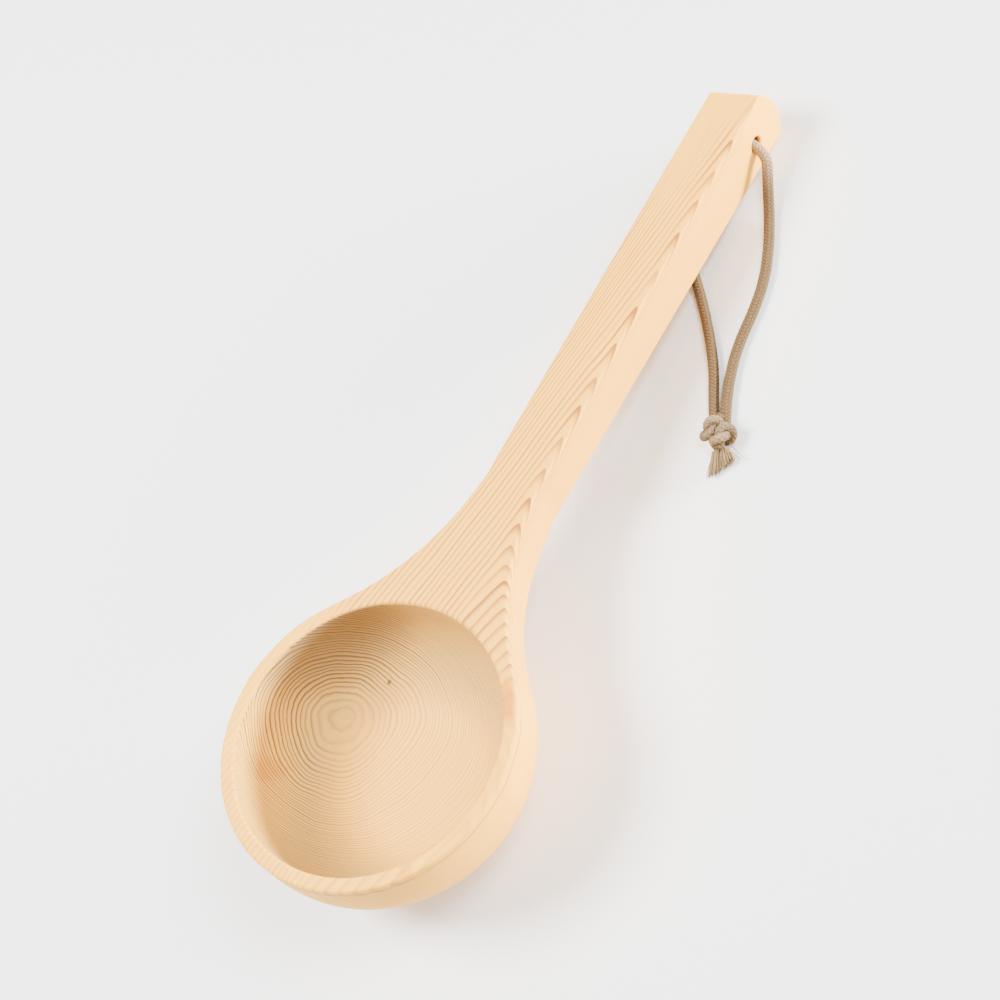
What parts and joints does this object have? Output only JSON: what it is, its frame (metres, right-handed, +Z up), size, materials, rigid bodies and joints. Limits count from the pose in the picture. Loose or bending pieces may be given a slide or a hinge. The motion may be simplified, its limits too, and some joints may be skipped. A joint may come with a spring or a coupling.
{
  "type": "sauna ladle",
  "caption": "Carved wooden sauna ladle: a round bowl whose wall flows through a curved neck into a straight handle, with a knotted cord through the handle's end",
  "frame": {"origin": "on the surface that the ladle lies on, halfway along the ladle and on its middle plane", "axes": "+X from the bowl to the handle's end, +Z up from the surface, +Y to the side away from the knot"},
  "size_m": [0.3993, 0.1329, 0.0629],
  "materials": {
    "wood": "sanded smooth, bare",
    "cord": "braided, matt"
  },
  "bodies": {
    "root": {"ladle_body": "wood", "hang_cord": "cord", "cord_knot": "cord", "cord_tails": "cord"}
  },
  "joints": []
}
